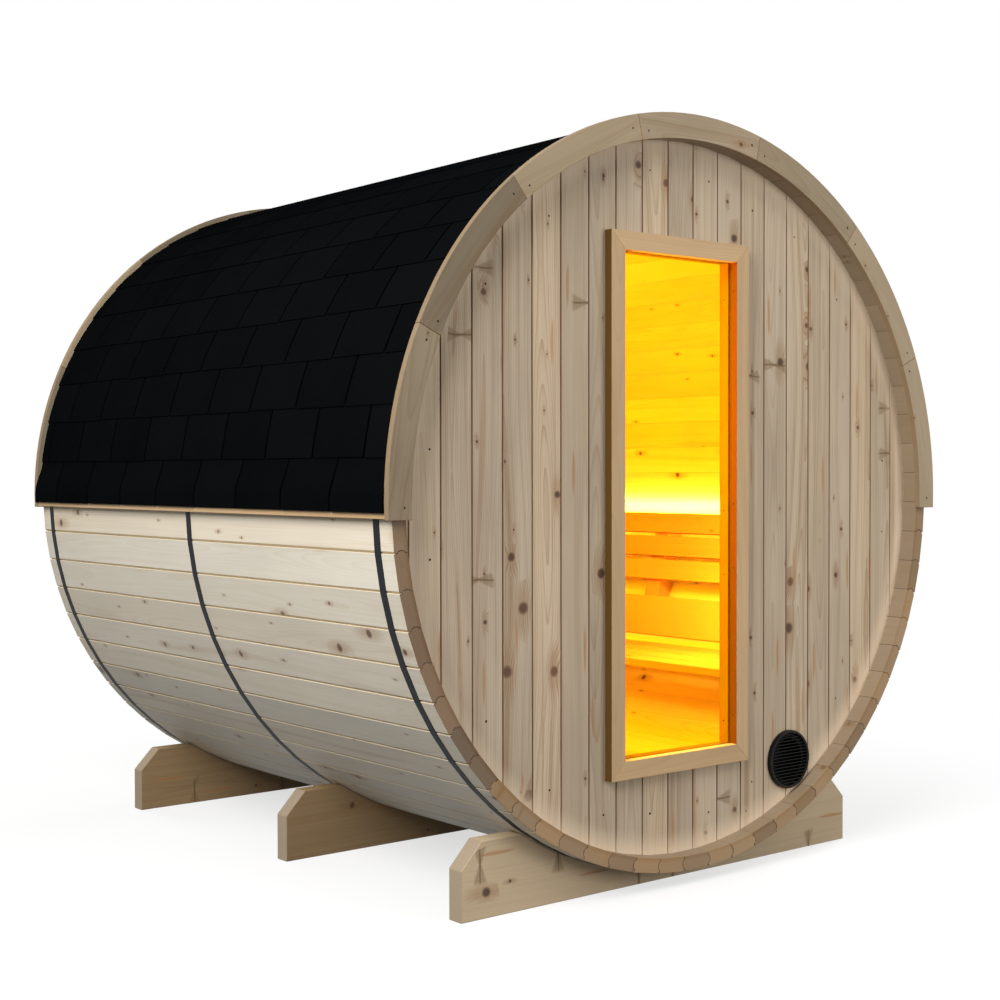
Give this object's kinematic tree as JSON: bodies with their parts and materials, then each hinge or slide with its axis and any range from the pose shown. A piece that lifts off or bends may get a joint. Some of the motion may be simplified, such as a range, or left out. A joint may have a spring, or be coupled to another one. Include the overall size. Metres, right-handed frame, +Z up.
{
  "type": "barrel sauna",
  "caption": "Small garden sauna built as a horizontal barrel of wooden staves with steel bands, a shingled roof over its upper half, a tall glazed end and plank cradles.",
  "frame": {"origin": "on the ground, under the middle of the barrel", "axes": "+Z up, Y along the barrel's axis with the glazed end facing -Y, +X to the right when facing the glazed end"},
  "size_m": [2.0542, 2.011, 2.0632],
  "materials": {
    "stave_wood": "planed spruce, unfinished",
    "wall_wood": "planed knotty spruce, unfinished",
    "trim_wood": "planed spruce, unfinished",
    "cradle_wood": "sawn spruce, unfinished",
    "bench_wood": "smooth planed wood",
    "roof_felt": "matt black mineral-coated bitumen",
    "band_steel": "dark grey coating",
    "glass": "clear",
    "vent_plastic": "black, lightly glossy",
    "light": "warm light diffuser"
  },
  "bodies": {
    "root": {"backrest_slats": "bench_wood", "backrest_uprights": "bench_wood", "bench_brackets": "bench_wood", "bench_seat": "bench_wood", "door_hinges": "band_steel", "door_leaf": "wall_wood", "door_pull": "trim_wood", "door_pull_posts": "trim_wood", "door_trim": "trim_wood", "eave_strips": "trim_wood", "floor_staves_even": "stave_wood", "floor_staves_odd": "stave_wood", "front_band": "band_steel", "front_cradle": "cradle_wood", "front_fascia": "trim_wood", "front_wall_head": "wall_wood", "front_wall_left": "wall_wood", "front_wall_right": "wall_wood", "front_wall_sill": "wall_wood", "left_shingles": "roof_felt", "left_staves_even": "stave_wood", "left_staves_odd": "stave_wood", "light_strips": "light", "middle_band": "band_steel", "middle_cradle": "cradle_wood", "rear_band": "band_steel", "rear_cradle": "cradle_wood", "rear_fascia": "trim_wood", "rear_wall_head": "wall_wood", "rear_wall_left": "wall_wood", "rear_wall_right": "wall_wood", "rear_wall_sill": "wall_wood", "ridge_cap": "roof_felt", "right_shingles": "roof_felt", "right_staves_even": "stave_wood", "right_staves_odd": "stave_wood", "roof_staves_even": "stave_wood", "roof_staves_odd": "stave_wood", "vent_louvre": "vent_plastic", "window_glass": "glass", "window_stops": "trim_wood", "window_trim": "trim_wood"}
  },
  "joints": []
}
